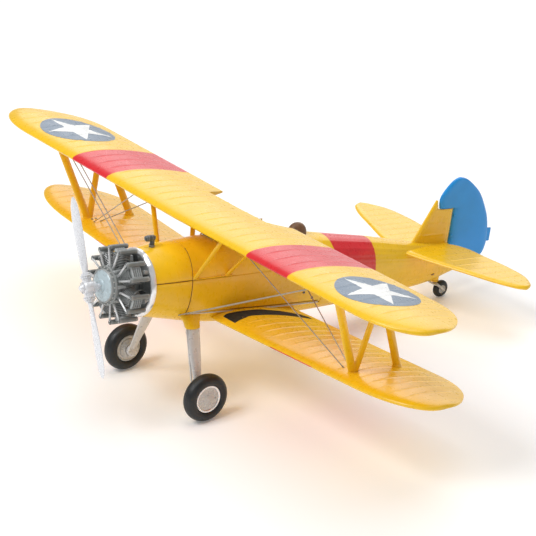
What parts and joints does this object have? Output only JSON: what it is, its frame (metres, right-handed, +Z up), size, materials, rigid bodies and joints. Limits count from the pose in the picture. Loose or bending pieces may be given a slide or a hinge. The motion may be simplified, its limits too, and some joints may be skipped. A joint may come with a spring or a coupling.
{
  "type": "biplane scale model",
  "caption": "Yellow two-seat radial-engined biplane display model standing on its wheels, with turning propeller, wheels, rudder and tail wheel.",
  "frame": {"origin": "centre of the bounding box at ground level, the model standing on its three tyres", "axes": "+X to port (along the span), -Y towards the nose, +Z up from the surface it stands on"},
  "size_m": [0.2044, 0.1598, 0.0655],
  "materials": {
    "yellow_enamel": "gloss",
    "rudder_blue": "gloss",
    "bright_ring": "polished",
    "engine_grey": "satin",
    "pushrod_silver": "satin",
    "cover_blue_grey": "satin",
    "gunmetal": "satin",
    "propeller_silver": "gloss",
    "leg_silver": "satin",
    "hub_silver": "satin",
    "black_tyre": "satin",
    "steel_wire": "satin",
    "clear_pane": "polished",
    "cockpit_grey": "matte",
    "brown_trim": "satin"
  },
  "bodies": {
    "airframe": {"belly_pan": "yellow_enamel", "brake_rods": "leg_silver", "breather_pipe": "gunmetal", "cabane_front_left": "yellow_enamel", "cabane_front_right": "yellow_enamel", "cabane_rear_left": "yellow_enamel", "cabane_rear_right": "yellow_enamel", "cockpit_rim_front": "brown_trim", "cockpit_rim_rear": "brown_trim", "cockpit_tub_front": "cockpit_grey", "cockpit_tub_rear": "cockpit_grey", "cowl_ring": "bright_ring", "crankcase": "engine_grey", "crankcase_cover": "cover_blue_grey", "cylinder_1": "engine_grey", "cylinder_2": "engine_grey", "cylinder_3": "engine_grey", "cylinder_4": "engine_grey", "cylinder_5": "engine_grey", "cylinder_6": "engine_grey", "cylinder_7": "engine_grey", "fin": "yellow_enamel", "fuselage_deck": "yellow_enamel", "fuselage_side_left": "yellow_enamel", "fuselage_side_right": "yellow_enamel", "fuselage_tail": "yellow_enamel", "gear_fairing_left": "yellow_enamel", "gear_fairing_right": "yellow_enamel", "gear_leg_left": "leg_silver", "gear_leg_right": "leg_silver", "headrest": "brown_trim", "horizontal_tail": "yellow_enamel", "interplane_struts_left": "yellow_enamel", "interplane_struts_right": "yellow_enamel", "lower_wing_left": "yellow_enamel", "lower_wing_right": "yellow_enamel", "nose_cowl_lower": "yellow_enamel", "nose_cowl_upper": "yellow_enamel", "pushrod_tubes": "pushrod_silver", "rigging_wires": "steel_wire", "rudder_hinge_pin": "steel_wire", "seat_front": "brown_trim", "seat_rear": "brown_trim", "tailwheel_housing": "yellow_enamel", "upper_wing": "yellow_enamel", "windscreen_front": "clear_pane", "windscreen_rear": "clear_pane"},
    "propeller": {"propeller_hub": "propeller_silver", "propeller_blade_1": "propeller_silver", "propeller_blade_2": "propeller_silver", "propeller_nut": "propeller_silver"},
    "main_wheel_left": {"wheel_hub_left": "hub_silver", "tyre_left": "black_tyre"},
    "main_wheel_right": {"wheel_hub_right": "hub_silver", "tyre_right": "black_tyre"},
    "tailwheel_swivel": {"tailwheel_fork": "hub_silver"},
    "tailwheel": {"tailwheel_hub": "hub_silver", "tailwheel_tyre": "black_tyre"},
    "rudder": {"rudder": "rudder_blue", "rudder_tab": "rudder_blue"}
  },
  "joints": [
    {"name": "propeller_spin", "type": "hinge", "parent": "airframe", "child": "propeller", "pos_m": [0, -0.07555, 0.04256], "axis": [0, -0.9832, 0.1827], "continuous": true},
    {"name": "main_wheel_left_spin", "type": "hinge", "parent": "airframe", "child": "main_wheel_left", "pos_m": [0.0207, -0.04983, 0.00733], "axis": [1, 0, 0], "continuous": true},
    {"name": "main_wheel_right_spin", "type": "hinge", "parent": "airframe", "child": "main_wheel_right", "pos_m": [-0.0207, -0.04983, 0.00733], "axis": [1, 0, 0], "continuous": true},
    {"name": "tailwheel_swivel", "type": "hinge", "parent": "airframe", "child": "tailwheel_swivel", "pos_m": [0, 0.05594, 0.00796], "axis": [0, 0.1827, 0.9832], "range_deg": [-45, 45]},
    {"name": "tailwheel_spin", "type": "hinge", "parent": "tailwheel_swivel", "child": "tailwheel", "pos_m": [0, 0.05853, 0.00285], "axis": [1, 0, 0], "continuous": true},
    {"name": "rudder_swing", "type": "hinge", "parent": "airframe", "child": "rudder", "pos_m": [0, 0.06228, 0.02102], "axis": [0, 0.1827, 0.9832], "range_deg": [-30, 30]}
  ]
}
